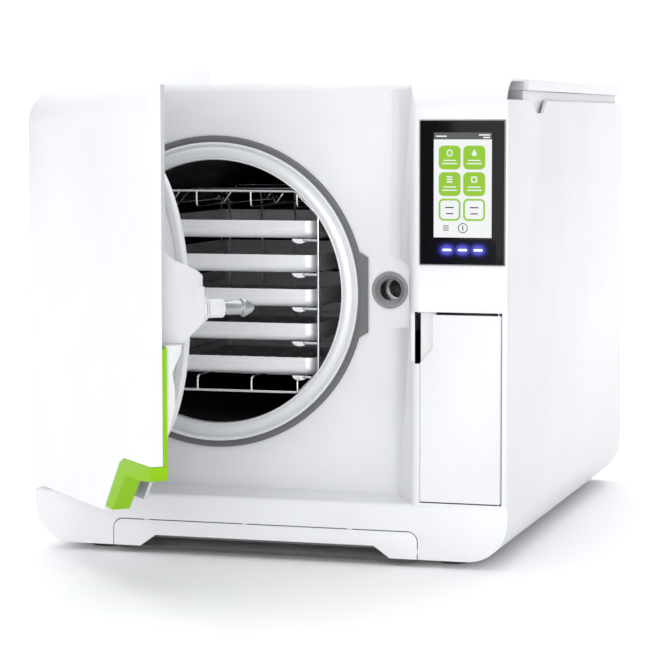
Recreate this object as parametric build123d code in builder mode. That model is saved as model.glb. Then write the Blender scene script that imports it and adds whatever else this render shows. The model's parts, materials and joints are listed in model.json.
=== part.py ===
from build123d import *
from math import atan2, degrees, sqrt
import os

os.makedirs("parts", exist_ok=True)

# Benchtop steam autoclave with its door open. Everything is modelled in the machine frame:
# X = 0 is the machine's centre plane, Y = 0 the front plane of base and column, Z = 0 the bench,
# +Y points into the machine. Door pieces are modelled closed and swung open as they are saved.

# ---------------------------------------------------------------- driving dimensions, mm
WIDTH = 465.0
DEPTH = 599.0
HEIGHT = 449.0
WALL = 3.0
HALF = WIDTH / 2
FRONT_HALF = HALF - WALL            # front panel and base sit between the side panels
GROUND = 7.0                        # underside of the base above the bench
FLOOR = GROUND + 2 * WALL           # inner floor of the base
SILL = 58.0                         # top of the base, under the door
BELLY_R = 38.0                      # rounding of the lower long edges
FASCIA_Y = 62.0                     # recessed front face behind the door
FASCIA_X = 112.7                    # where the face turns into the slanted wall
COLUMN_X = 144.0                    # where the slanted wall meets the column front
CAP_Y = 80.0                        # rear edge of the front panel's roof
SIDE_TOP = 428.8
LID_Z = 438.0
SHADOW_X = 227.0                    # deck wall seen in the groove under the lid
REAR_Y = 588.0                      # front of the recessed rear panel
FEET = [(x, y) for x in (-174, 174) for y in (40, 550)]
FOOT_R = 15.0

STEP_X = 140.0                      # step in the roof that the closed door's hood drops into
STEP_Z = 439.0
BROW_R = 30.0                       # rounding of the column's top edge
FASCIA_R = 12.0                     # rounding of the fascia's top edge
POCKET_X = (84.0, 135.5)            # lock pocket cut into the slanted wall
DISH_R = 180.0                      # shallow dish around the chamber opening

FAN_X, FAN_Z = 150.0, 130.0
INLET_X, INLET_Z = -150.0, 90.0
PORTS = [(-40.0, 100.0), (0.0, 100.0), (40.0, 100.0)]
PORT_BORE = 5.0
VALVE = (-70.0, 330.0)
CASE_SCREWS = [(x, z) for x in (-215.0, 0.0, 215.0) for z in (72.0, 410.0)]

CHAMBER_X = -70.0
CHAMBER_Z = 246.0
CHAMBER_R = 127.0
CHAMBER_BACK = 440.0
RING_R = 144.0
TRIM_R = 150.0
RING_Y = 60.4

LOCK_X = 105.0
LOCK_Z = 251.0
BUSH_R = 17.5
LOCK_BORE = 10.4

HINGE_X = -215.0
HINGE_Y = 25.0
HINGE_R = 4.0
HINGE_LEVELS = (128.0, 372.0)
RUNNING = 0.05                      # radial clearance of the pins
DOOR_OPEN = 51.0                    # angle at which the door stands
DOOR_LEFT = -231.0
DOOR_RIGHT = 136.0
DOOR_DEPTH = 54.0
DOOR_SKIN = 4.0
RIM = 11.0                          # depth of the door's free edge
PLATE_R = 141.0

GLASS_X = (149.5, 229.3)
GLASS_Z = (279.0, 410.7)
LCD_X = 189.9
LCD_Z = 351.8
LCD_SIZE = (53.86, 95.04)           # visible area of a standard 4.3 inch panel, upright
LAMP_STEPS = (-14.5, 0.0, 14.5)

BAY_X = (150.0, 226.0)
BAY_Z = (60.0, 236.0)
BAY_BACK = 92.0
FILTER_X, FILTER_Z = 188.0, 190.0
TAPS = [(172.0, 90.0), (205.0, 90.0)]
USB_X, USB_Z = 205.0, 128.0
SWITCH_X, SWITCH_Z = 172.0, 128.0
AXLE_R = 1.5
RESET_X, RESET_Z = 188.0, 150.0
SERVICE_PIN = (223.4, 2.6)
SERVICE_PIN_R = 1.2
SERVICE_BARREL_R = 2.6

FLAP_X = (-152.0, 148.5)
FLAP_TOP = 33.0
DRAWER_LONG = 210.0

LID_PIN = (586.0, 438.0)
LID_PIN_R = 2.5
LID_HINGES = (-170.0, 170.0)
CAPS = [(150.0, 190.0), (150.0, 450.0)]
TANK_X = (92.0, 222.0)
TANK_Z = (272.0, 418.0)

WIRE_R = 1.5
WELD = 0.01                         # joint between welded wires
RACK_FRONT = 80.0
RACK_LONG = 290.0
RACK_TOP = 95.5                     # hoop outline, from the chamber axis
RACK_FLAT = 81.0
RACK_SIDE = 99.5
RACK_SHOULDER = 76.0
RUNNER_U = 86.0
RUNNER_HALF = 1.3
TRAY_HALF = 96.5
TRAY_HIGH = 17.0
TRAY_PITCH = 33.0
TRAY_LOW = 165.5
TRAY_FRONT = 84.0
TRAY_LONG = 282.0

# Centre of the machine's outline with the door standing open: the row's origin on the bench.
OUTLINE_X = -6.0
OUTLINE_Y = 167.7

MACHINE = Pos(-OUTLINE_X, -OUTLINE_Y, 0)
SWUNG = MACHINE * Pos(HINGE_X, HINGE_Y, 0) * Rot(0, 0, -DOOR_OPEN) * Pos(-HINGE_X, -HINGE_Y, 0)


# ---------------------------------------------------------------- small helpers
def facing(y):
    """Plane seen from the front: sketch x is X and sketch y is Z; extrude(-d) goes d into the machine."""
    return Plane(origin=(0, y, 0), x_dir=(1, 0, 0), z_dir=(0, -1, 0))


def across(x):
    """Plane seen from the right: sketch x is Y and sketch y is Z; extrude(d) goes d to the right."""
    return Plane(origin=(x, 0, 0), x_dir=(0, 1, 0), z_dir=(1, 0, 0))


def block(x, y, z, mode=Mode.ADD):
    """Box between pairs of limits."""
    centre = ((x[0] + x[1]) / 2, (y[0] + y[1]) / 2, (z[0] + z[1]) / 2)
    with Locations(centre):
        Box(x[1] - x[0], y[1] - y[0], z[1] - z[0], mode=mode)


def rod(start, end, radius, mode=Mode.ADD):
    """Round bar between two points."""
    run = Vector(*end) - Vector(*start)
    plane = Plane(origin=start, z_dir=run.normalized())
    with Locations(plane.location):
        Cylinder(radius, run.length, align=(Align.CENTER, Align.CENTER, Align.MIN), mode=mode)


def bead(points, radius):
    """Round joints where bars meet."""
    with Locations(*points):
        Sphere(radius)


def save(piece, label, place=MACHINE):
    """Label a finished piece, set it in the row's frame and write its file."""
    piece.part.label = label
    piece.part.locate(place * piece.part.location)
    export_step(piece.part, f"parts/{label}.step")


def slant(y, inset=0.0):
    """X of the slanted wall at depth y, set in by a wall thickness."""
    slope = (COLUMN_X - FASCIA_X) / FASCIA_Y
    return COLUMN_X - slope * y + inset * sqrt(1 + slope * slope)


# ---------------------------------------------------------------- casing
def casing_body(inset, top):
    """Outer body with rounded lower edges, set in by a wall, up to the given height."""
    half = HALF - inset
    low = GROUND + inset
    with BuildPart() as body:
        with BuildSketch(facing(0)):
            with BuildLine():
                Polyline((-half, top), (-half, low), (half, low), (half, top), close=True)
            make_face()
            fillet(vertices().group_by(Axis.Y)[0], BELLY_R - inset)
        extrude(amount=-DEPTH)
    return body.part


def side_shell(sign):
    """Skin over one side, from its curved foot to the groove under the lid."""
    with BuildPart() as skin:
        add(casing_body(0, SIDE_TOP))
        add(casing_body(WALL, SIDE_TOP + 1), mode=Mode.SUBTRACT)
        limits = sorted((sign * 200, sign * (HALF + 1)))
        block(limits, (0, DEPTH), (12, SIDE_TOP), mode=Mode.INTERSECT)
        front_edges = edges().filter_by(Axis.Z).group_by(Axis.Y)[0].sort_by(Axis.X)
        fillet(front_edges[-1 if sign > 0 else 0], WALL - 0.2)
    return skin.part


def make_side_panels():
    for sign, label in ((-1, "left_side_panel"), (1, "right_side_panel")):
        with BuildPart() as panel:
            add(side_shell(sign))
            # finger notch for lifting the lid
            with BuildSketch(across(sign * HALF - 5)):
                with BuildLine():
                    Polyline(
                        (92, SIDE_TOP + 1), (124, SIDE_TOP - 12), (152, SIDE_TOP - 12),
                        (170, SIDE_TOP + 1), close=True)
                make_face()
                fillet(vertices().group_by(Axis.Y)[0], 6)
            extrude(amount=10, mode=Mode.SUBTRACT)
            # rear corner clears the lid as it tips up
            block((-HALF - 1, HALF + 1), (580, DEPTH + 1), (422, SIDE_TOP + 1), mode=Mode.SUBTRACT)
            if sign < 0:
                # the closed door stands in front of this side
                block((-HALF - 1, -200), (-1, FASCIA_Y), (SILL, SIDE_TOP + 1), mode=Mode.SUBTRACT)
        save(panel, label)


def make_base():
    """Moulded base: skirt, sill, floor and the trough that holds the dust filter drawer."""
    flap_mid = (FLAP_X[0] + FLAP_X[1]) / 2
    flap_wide = FLAP_X[1] - FLAP_X[0]
    with BuildPart() as hollow:
        add(casing_body(2 * WALL, SILL + 1))
        block((-HALF, HALF), (CAP_Y, REAR_Y - 2), (0, SILL + 2), mode=Mode.INTERSECT)
    with BuildPart() as base:
        add(casing_body(0, SILL))
        for sign in (-1, 1):
            add(side_shell(sign), mode=Mode.SUBTRACT)
        add(hollow.part, mode=Mode.SUBTRACT)
        block((-190, 190), (WALL + 0.5, CAP_Y), (FLOOR, SILL - 3.5), mode=Mode.SUBTRACT)
        # trough: roof and side rails over the drawer
        block((FLAP_X[0] - 3, FLAP_X[1] + 3), (WALL, DRAWER_LONG + 8), (GROUND, FLAP_TOP + 3))
        with BuildSketch(facing(-1)):
            with Locations((flap_mid, (GROUND + FLAP_TOP) / 2 - 5)):
                RectangleRounded(flap_wide, FLAP_TOP - GROUND + 10, 10)
        extrude(amount=-(DRAWER_LONG + 6), mode=Mode.SUBTRACT)
        # vent slots in the trough's roof
        with Locations((flap_mid, 120, FLAP_TOP + 1)):
            with GridLocations(0, 16, 1, 8):
                Box(200, 6, 8, mode=Mode.SUBTRACT)
        # runners under the drawer's edges
        for low in (FLAP_X[0], FLAP_X[1] - 8):
            block((low, low + 8), (20, DRAWER_LONG + 5), (GROUND, GROUND + 2))
        # softened front edge of the sill, left of the column
        with BuildSketch(across(-HALF)):
            with BuildLine():
                Polyline(
                    (-1, SILL - 4), (0, SILL - 4), (4, SILL), (4, SILL + 1), (-1, SILL + 1),
                    close=True)
            make_face()
            with Locations((4, SILL - 4)):
                Circle(4, mode=Mode.SUBTRACT)
        extrude(amount=HALF + COLUMN_X, mode=Mode.SUBTRACT)
        with Locations(*[(x, y, GROUND) for x, y in FEET]):
            Cylinder(4.1, 12, mode=Mode.SUBTRACT)
    save(base, "base_tray")


def make_feet():
    with BuildPart() as feet:
        with Locations(*[(x, y, 0) for x, y in FEET]):
            Cylinder(FOOT_R, GROUND, align=(Align.CENTER, Align.CENTER, Align.MIN))
            Cylinder(4, 20, align=(Align.CENTER, Align.CENTER, Align.MIN))
        chamfer(edges().group_by(Axis.Z)[0], 1.2)
    save(feet, "levelling_feet")


def front_solid(inset):
    """Block behind the front panel's face: fascia, slanted wall, column, and its rounded top edges."""
    reach = FRONT_HALF + (10 if inset else 0)
    back = CAP_Y + (5 if inset else 0)
    face = FASCIA_Y + inset
    top = HEIGHT - inset
    step_top = STEP_Z - inset
    with BuildPart() as solid:
        with BuildSketch(Plane.XY.offset(SILL - (5 if inset else 0))):
            with BuildLine():
                Polyline(
                    (-reach, face), (slant(face, inset), face), (slant(inset, inset), inset),
                    (reach, inset), (reach, back), (-reach, back), close=True)
            make_face()
            fillet(vertices().sort_by_distance((slant(face, inset), face))[0], 16 + inset)
            fillet(vertices().sort_by_distance((slant(inset, inset), inset))[0], 9 - inset)
        extrude(amount=top - SILL + (5 if inset else 0))
        # rounded brow over the column
        with BuildSketch(across(STEP_X + inset)):
            with Locations((inset - 1, top + 1)):
                Rectangle(BROW_R - inset + 1, BROW_R - inset + 1, align=(Align.MIN, Align.MAX))
            with Locations((BROW_R, HEIGHT - BROW_R)):
                Circle(BROW_R - inset, mode=Mode.SUBTRACT)
        extrude(amount=HALF, mode=Mode.SUBTRACT)
        # smaller rounding along the top of the fascia
        with BuildSketch(across(-HALF - 20)):
            with Locations((face - 1, top + 1)):
                Rectangle(FASCIA_R - inset + 1, FASCIA_R - inset + 1, align=(Align.MIN, Align.MAX))
            with Locations((FASCIA_Y + FASCIA_R, HEIGHT - FASCIA_R)):
                Circle(FASCIA_R - inset, mode=Mode.SUBTRACT)
        extrude(amount=HALF + 20 + STEP_X, mode=Mode.SUBTRACT)
        # step that the closed door's hood drops into
        block((60, STEP_X + inset), (-1, FASCIA_Y + 1 + inset), (step_top, HEIGHT + 1), mode=Mode.SUBTRACT)
    return solid.part


def pocket_solid(extra, front, back):
    """Tapered lock pocket that carries the face plane on into the slanted wall."""
    low, high = POCKET_X[0] - extra, POCKET_X[1] + extra
    with BuildPart() as pocket:
        with BuildSketch(facing(front)):
            with BuildLine():
                Polyline(
                    (low, LOCK_Z + 37 + extra), (high, LOCK_Z + 26 + extra),
                    (high, LOCK_Z - 32 - extra), (low, LOCK_Z - 40 - extra), close=True)
            make_face()
        extrude(amount=front - back)
    return pocket.part


def make_front_panel():
    with BuildPart() as pocket_walls:
        add(pocket_solid(WALL, 0, FASCIA_Y + WALL))
        add(front_solid(0), mode=Mode.INTERSECT)
    with BuildPart() as panel:
        add(front_solid(0))
        add(front_solid(WALL), mode=Mode.SUBTRACT)
        add(pocket_walls.part)
        add(pocket_solid(0, -1, FASCIA_Y), mode=Mode.SUBTRACT)
        # chamber opening with a shallow dish around it
        with BuildSketch(facing(50)):
            with Locations((CHAMBER_X, CHAMBER_Z)):
                Circle(TRIM_R + 0.2)
        extrude(amount=-20, mode=Mode.SUBTRACT)
        dish = Plane(origin=(CHAMBER_X, FASCIA_Y, CHAMBER_Z), z_dir=(0, 1, 0))
        with Locations(dish.location):
            Cone(DISH_R, TRIM_R, 1.5, align=(Align.CENTER, Align.CENTER, Align.MIN), mode=Mode.SUBTRACT)
        # lock hole, display window and service opening
        with BuildSketch(facing(50)):
            with Locations((LOCK_X, LOCK_Z)):
                Circle(BUSH_R + 0.1)
        extrude(amount=-20, mode=Mode.SUBTRACT)
        block((GLASS_X[0] - 0.2, FRONT_HALF + 1), (-1, 6), (GLASS_Z[0] - 0.2, GLASS_Z[1] + 0.2),
              mode=Mode.SUBTRACT)
        block((BAY_X[0], BAY_X[1] + 0.9), (-1, 20), BAY_Z, mode=Mode.SUBTRACT)
        # lip behind the service door's finger notch
        block((BAY_X[0] - 1, BAY_X[0] + 14), (6.5, 9), (BAY_Z[1] - 54, BAY_Z[1] + 1))
        # finger scoop beside the service door
        with BuildSketch(facing(-1)):
            with Locations((BAY_X[0] - 4, BAY_Z[1] - 24)):
                SlotCenterToCenter(28, 20, rotation=90)
        extrude(amount=-9, mode=Mode.SUBTRACT)
    save(panel, "front_panel")


def make_rear_panel():
    """Sheet with the fan grille, mains inlet, water ports and safety valve holes."""
    with BuildPart() as panel:
        block((-229.2, 229.2), (REAR_Y, REAR_Y + 2), (SILL, 424))
        with Locations(Plane(origin=(FAN_X, REAR_Y, FAN_Z), z_dir=(0, -1, 0)).location):
            with GridLocations(0, 11, 1, 9):
                Box(96, 5, 10, mode=Mode.SUBTRACT)
        with BuildSketch(facing(REAR_Y - 5)):
            with Locations((INLET_X, INLET_Z)):
                Rectangle(29, 25)
            with Locations(*PORTS):
                Circle(8.1)
            with Locations(VALVE):
                Circle(7.1)
            with Locations(*CASE_SCREWS):
                Circle(2.1)
        extrude(amount=-10, mode=Mode.SUBTRACT)
    save(panel, "rear_panel")
    with BuildPart() as screws:
        for x, z in CASE_SCREWS:
            rod((x, REAR_Y + 2, z), (x, REAR_Y + 4.4, z), 3.8)
            rod((x, REAR_Y - 10, z), (x, REAR_Y + 2, z), 2)
            rod((x, REAR_Y + 3, z), (x, REAR_Y + 5, z), 1.2, mode=Mode.SUBTRACT)
    save(screws, "case_screws")


def make_rear_fittings():
    with BuildPart() as inlet:
        block((INLET_X - 14.4, INLET_X + 14.4), (REAR_Y - 20, REAR_Y + 2), (INLET_Z - 12.4, INLET_Z + 12.4))
        block((INLET_X - 20, INLET_X + 20), (REAR_Y + 2, REAR_Y + 4.5), (INLET_Z - 16, INLET_Z + 16))
        block((INLET_X - 12, INLET_X + 12), (REAR_Y - 14, REAR_Y + 6), (INLET_Z - 8.5, INLET_Z + 8.5),
              mode=Mode.SUBTRACT)
        for x, z in ((-7, -2), (7, -2), (0, 3)):
            block((INLET_X + x - 1, INLET_X + x + 1), (REAR_Y - 15, REAR_Y),
                  (INLET_Z + z - 2.5, INLET_Z + z + 2.5))
    save(inlet, "mains_inlet")
    with BuildPart() as ports:
        for x, z in PORTS:
            rod((x, REAR_Y - 18, z), (x, REAR_Y + 11, z), 8)
            rod((x, REAR_Y + 2, z), (x, REAR_Y + 5, z), 12)
            rod((x, REAR_Y - 10, z), (x, REAR_Y + 12, z), PORT_BORE, mode=Mode.SUBTRACT)
    save(ports, "water_ports")
    x, z = VALVE
    with BuildPart() as valve:
        rod((x, CHAMBER_BACK + 46, z - 60), (x, CHAMBER_BACK + 60, z - 60), 9)
        rod((x, CHAMBER_BACK + 60, z - 60), (x, CHAMBER_BACK + 60, z), 7)
        bead([(x, CHAMBER_BACK + 60, z - 60), (x, CHAMBER_BACK + 60, z)], 7)
        rod((x, CHAMBER_BACK + 60, z), (x, REAR_Y + 6, z), 7)
        rod((x, REAR_Y + 5.5, z), (x, REAR_Y + 9.5, z), 9)
    save(valve, "safety_valve")


def make_tank_deck():
    """Deck under the lid, with the filler openings and the lid's hinge pins."""
    with BuildPart() as deck:
        block((-SHADOW_X, SHADOW_X), (CAP_Y + 3, 583), (412, LID_Z - 0.3))
        block((-SHADOW_X + 3, SHADOW_X - 3), (CAP_Y + 6, 580), (431, LID_Z + 1), mode=Mode.SUBTRACT)
        block((-SHADOW_X + 3, SHADOW_X - 3), (CAP_Y + 6, 580), (411, 428), mode=Mode.SUBTRACT)
        with Locations(*[(x, y, 430) for x, y in CAPS]):
            Cylinder(24, 10, mode=Mode.SUBTRACT)
        for x in LID_HINGES:
            for side in (x - 14, x + 8):
                block((side, side + 6), (576, LID_PIN[0]), (426, LID_PIN[1]))
                rod((side, *LID_PIN), (side + 6, *LID_PIN), 6)
            block((x - 8, x + 8), (572, 600), (431, 450), mode=Mode.SUBTRACT)
            rod((x - 14, *LID_PIN), (x + 14, *LID_PIN), LID_PIN_R)
    save(deck, "tank_deck")


def make_lid():
    with BuildPart() as lid:
        block((-HALF, HALF), (CAP_Y + 0.5, DEPTH - 0.5), (LID_Z, HEIGHT))
        fillet(edges().filter_by(Axis.Z), 5)
        fillet(edges().group_by(Axis.Z)[-1], 1.5)
        block((-HALF + WALL, HALF - WALL), (CAP_Y + 3.5, DEPTH - 3.5), (LID_Z - 1, HEIGHT - WALL),
              mode=Mode.SUBTRACT)
        for x in LID_HINGES:
            block((x - 7, x + 7), (LID_PIN[0] - 5, LID_PIN[0] + 5), (LID_PIN[1], HEIGHT - 1))
            rod((x - 7, *LID_PIN), (x + 7, *LID_PIN), 5)
            rod((x - 8, *LID_PIN), (x + 8, *LID_PIN), LID_PIN_R + RUNNING, mode=Mode.SUBTRACT)
    save(lid, "tank_lid")


# ---------------------------------------------------------------- dust filter drawer
def make_drawer():
    low, high = FLAP_X[0] + 1, FLAP_X[1] - 1
    mid = (low + high) / 2
    with BuildPart() as drawer:
        with BuildSketch(facing(0)):
            with Locations((mid, (GROUND + FLAP_TOP - 1) / 2)):
                RectangleRounded(high - low, FLAP_TOP - 1 - GROUND, 9)
            with Locations((mid, GROUND + 4)):
                Rectangle(high - low, 8)
            with BuildLine():
                Polyline((-126, GROUND - 1), (-109, 18), (106, 18), (123, GROUND - 1), close=True)
            make_face(mode=Mode.SUBTRACT)
        extrude(amount=-3.5)
        # side arms of the frame that carries the mesh
        for x in (low + 1, high - 13):
            block((x, x + 12), (3.5, DRAWER_LONG), (12.5, 15.5))
        block((low + 1, high - 1), (DRAWER_LONG - 10, DRAWER_LONG), (12.5, 15.5))
        block((low + 1, high - 1), (3.5, 8), (19, 26))
        block((low + 1, low + 13), (3.5, 8), (12.5, 20))
        block((high - 13, high - 1), (3.5, 8), (12.5, 20))
    save(drawer, "filter_drawer")
    with BuildPart() as grid:
        block((low + 13.2, high - 13.2), (20, DRAWER_LONG - 10.2), (12.5, 15))
        with Locations((mid, (20 + DRAWER_LONG - 10.2) / 2, 14)):
            with GridLocations(22, 26, 12, 7):
                Box(16, 20, 10, mode=Mode.SUBTRACT)
    save(grid, "dust_filter")


# ---------------------------------------------------------------- service compartment
def make_service_bay():
    with BuildPart() as bay:
        block((BAY_X[0] - 3, 228.8), (20.2, BAY_BACK), (BAY_Z[0] - 1.5, BAY_Z[1] + 3))
        block((BAY_X[0], 225.8), (20, BAY_BACK - 3), BAY_Z, mode=Mode.SUBTRACT)
        with BuildSketch(facing(80)):
            with Locations(*TAPS):
                Circle(6.1)
            with Locations((SWITCH_X, SWITCH_Z)):
                Rectangle(18, 10)
            with Locations((USB_X, USB_Z)):
                Rectangle(12, 4.6)
            with Locations((RESET_X, RESET_Z)):
                Circle(5.1)
        extrude(amount=-20, mode=Mode.SUBTRACT)
        # screw socket of the air filter
        rod((FILTER_X, BAY_BACK - 9, FILTER_Z), (FILTER_X, BAY_BACK + 8, FILTER_Z), 15)
        rod((FILTER_X, BAY_BACK - 10, FILTER_Z), (FILTER_X, BAY_BACK + 9, FILTER_Z), 5, mode=Mode.SUBTRACT)
        # raised frames of the rocker switch and the data socket
        for x, z, wide, tall in ((SWITCH_X, SWITCH_Z, 18, 10), (USB_X, USB_Z, 12, 4.6)):
            block((x - wide / 2 - 2, x + wide / 2 + 2), (BAY_BACK - 4.5, BAY_BACK + 10),
                  (z - tall / 2 - 2, z + tall / 2 + 2))
            block((x - wide / 2, x + wide / 2), (BAY_BACK - 5, BAY_BACK + 8), (z - tall / 2, z + tall / 2),
                  mode=Mode.SUBTRACT)
        # bearings of the rocker
        axle = BAY_BACK - 1
        rod((SWITCH_X, axle, SWITCH_Z - 6.2), (SWITCH_X, axle, SWITCH_Z + 6.2), AXLE_R + RUNNING,
            mode=Mode.SUBTRACT)
    save(bay, "service_bay")


def make_service_fittings():
    face = BAY_BACK - 3
    with BuildPart() as air_filter:
        rod((FILTER_X, face - 46, FILTER_Z), (FILTER_X, face - 6.3, FILTER_Z), 26)
        rod((FILTER_X, face - 52, FILTER_Z), (FILTER_X, face - 46, FILTER_Z), 16)
        rod((FILTER_X, face - 6.3, FILTER_Z), (FILTER_X, face + 10, FILTER_Z), 4.9)
        for turn in range(12):
            groove = Vector(26.5, 0).rotate(Axis.Z, 30 * turn)
            x, z = FILTER_X + groove.X, FILTER_Z + groove.Y
            rod((x, face - 47, z), (x, face - 20, z), 2, mode=Mode.SUBTRACT)
    save(air_filter, "bacteria_filter")
    with BuildPart() as couplings:
        for x, z in TAPS:
            rod((x, face - 24, z), (x, face + 16, z), 6)
            rod((x, face - 4, z), (x, face, z), 10)
            rod((x, face - 24, z), (x, face - 16, z), 8)
            rod((x, face - 25, z), (x, face - 6, z), 3.5, mode=Mode.SUBTRACT)
    save(couplings, "drain_couplings")
    with BuildPart() as rocker:
        with BuildSketch(Plane.XY.offset(SWITCH_Z - 4.6)):
            with BuildLine():
                Polyline(
                    (SWITCH_X - 8, face + 4), (SWITCH_X - 7, face - 4.2), (SWITCH_X, face - 0.6),
                    (SWITCH_X + 8, face - 0.2), (SWITCH_X + 8, face + 4), (SWITCH_X, face + 7), close=True)
            make_face()
        extrude(amount=9.2)
        rod((SWITCH_X, face + 2, SWITCH_Z - 6), (SWITCH_X, face + 2, SWITCH_Z + 6), AXLE_R)
    save(rocker, "power_rocker")
    with BuildPart() as reset:
        rod((RESET_X, face - 3, RESET_Z), (RESET_X, face + 8, RESET_Z), 5)
    save(reset, "reset_button")


def make_service_door():
    x, y = SERVICE_PIN
    with BuildPart() as door:
        block((BAY_X[0] + 0.4, x), (0, 3), (BAY_Z[0] + 1.2, BAY_Z[1] - 2.6))
        # hinge barrel along the right edge
        rod((x, y, BAY_Z[0] + 1.2), (x, y, BAY_Z[1] - 2.6), SERVICE_BARREL_R)
        rod((x, y, BAY_Z[0]), (x, y, BAY_Z[1]), SERVICE_PIN_R + RUNNING, mode=Mode.SUBTRACT)
        # finger notch at the upper left corner
        with BuildSketch(facing(-1)):
            with BuildLine():
                Polyline(
                    (BAY_X[0] - 1, BAY_Z[1]), (BAY_X[0] + 12, BAY_Z[1]), (BAY_X[0] + 12, BAY_Z[1] - 34),
                    (BAY_X[0] - 1, BAY_Z[1] - 48), close=True)
            make_face()
            fillet(vertices().sort_by_distance((BAY_X[0] + 12, BAY_Z[1] - 34))[0], 9)
        extrude(amount=-6, mode=Mode.SUBTRACT)
    save(door, "service_door")
    with BuildPart() as pin:
        rod((x, y, BAY_Z[0]), (x, y, BAY_Z[1]), SERVICE_PIN_R)
    save(pin, "service_door_pin")


# ---------------------------------------------------------------- display
def make_display():
    with BuildPart() as glass:
        block(GLASS_X, (-0.4, 1.8), GLASS_Z)
        fillet(edges().filter_by(Axis.Y), 1.2)
    save(glass, "display_glass")
    wide, tall = LCD_SIZE
    with BuildPart() as lcd:
        block((LCD_X - wide / 2 - 3, LCD_X + wide / 2 + 3), (2, 6),
              (LCD_Z - tall / 2 - 4, LCD_Z + tall / 2 + 4))
    save(lcd, "lcd_panel")
    with BuildPart() as board:
        block((GLASS_X[0] + 2, GLASS_X[1] - 3.3), (8, 9.6), (GLASS_Z[0] + 3, GLASS_Z[1] - 3))
        # light guides of the three status lamps
        with Locations(*[(LCD_X + step, 5.1, 293) for step in LAMP_STEPS]):
            Box(10, 6, 3)
        block((LCD_X - 20, LCD_X), (9.6, 13), (320, 340))
        block((LCD_X + 8, LCD_X + 26), (9.6, 15), (300, 309))
        for x in (GLASS_X[0] + 5, GLASS_X[1] - 6.3):
            for z in (GLASS_Z[0] + 8, GLASS_Z[1] - 8):
                rod((x, 2.2, z), (x, 8, z), 2.2)
    save(board, "display_board")


# ---------------------------------------------------------------- chamber
def turned(points):
    """Solid of revolution about the chamber axis from (radius, y) points."""
    with BuildPart() as solid:
        with BuildSketch(Plane(origin=(CHAMBER_X, 0, CHAMBER_Z), x_dir=(1, 0, 0), z_dir=(0, 0, 1))):
            with BuildLine():
                Polyline(*points, close=True)
            make_face()
        revolve(axis=Axis((CHAMBER_X, 0, CHAMBER_Z), (0, 1, 0)))
    return solid.part


def domed(radius, end, corner):
    """Round bar along the chamber axis with a rounded rear end."""
    with BuildPart() as solid:
        rod((CHAMBER_X, 72, CHAMBER_Z), (CHAMBER_X, end, CHAMBER_Z), radius)
        fillet(edges().group_by(Axis.Y)[-1], corner)
    return solid.part


def make_chamber():
    back = CHAMBER_BACK
    with BuildPart() as vessel:
        add(domed(CHAMBER_R + 3, back + 15, 60))
        add(domed(CHAMBER_R, back + 12, 57), mode=Mode.SUBTRACT)
    save(vessel, "chamber_vessel")
    with BuildPart() as ring:
        add(turned([
            (CHAMBER_R, 63), (CHAMBER_R + 1.5, RING_Y + 1), (CHAMBER_R + 3, RING_Y), (RING_R - 5, RING_Y),
            (RING_R - 4, RING_Y + 0.8), (RING_R - 2, RING_Y + 0.8), (RING_R - 1, RING_Y), (RING_R, RING_Y),
            (RING_R, 72), (CHAMBER_R, 72)]))
    save(ring, "chamber_ring")
    with BuildPart() as trim:
        add(turned([(RING_R + 0.1, RING_Y + 0.4), (TRIM_R, RING_Y + 1), (TRIM_R, 70), (RING_R + 0.1, 70)]))
    save(trim, "chamber_trim")
    with BuildPart() as heater:
        add(turned([
            (CHAMBER_R + 3.1, 120), (CHAMBER_R + 5.5, 120), (CHAMBER_R + 5.5, 390), (CHAMBER_R + 3.1, 390)]))
        x = CHAMBER_X
        block((x - 14, x + 14), (150, 180), (CHAMBER_Z + CHAMBER_R + 4.5, CHAMBER_Z + CHAMBER_R + 12))
    save(heater, "heater_band")
    with BuildPart() as wrap:
        add(turned([
            (CHAMBER_R + 5.7, 100), (TRIM_R + 5, 100), (TRIM_R + 5, 400), (CHAMBER_R + 5.7, 400)]))
        x = CHAMBER_X
        block((x - 18, x + 18), (146, 184), (CHAMBER_Z + CHAMBER_R + 4, CHAMBER_Z + CHAMBER_R + 40),
              mode=Mode.SUBTRACT)
    save(wrap, "insulation")
    with BuildPart() as frame:
        block((-223.5, 84), (74, 77), (SILL, 422))
        block((-190, 84), (412, 415), (FLOOR, SILL))
        block((-223.5, 84), (412, 415), (SILL, 422))
        with BuildSketch(facing(60)):
            with Locations((CHAMBER_X, CHAMBER_Z)):
                Circle(CHAMBER_R + 3.1)
        extrude(amount=-400, mode=Mode.SUBTRACT)
        for x in (-223.5, 81):
            block((x, x + 3), (77, 412), (SILL, SILL + 9))
            block((x, x + 3), (77, 412), (402, 411.5))
    save(frame, "chamber_frame")


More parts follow.
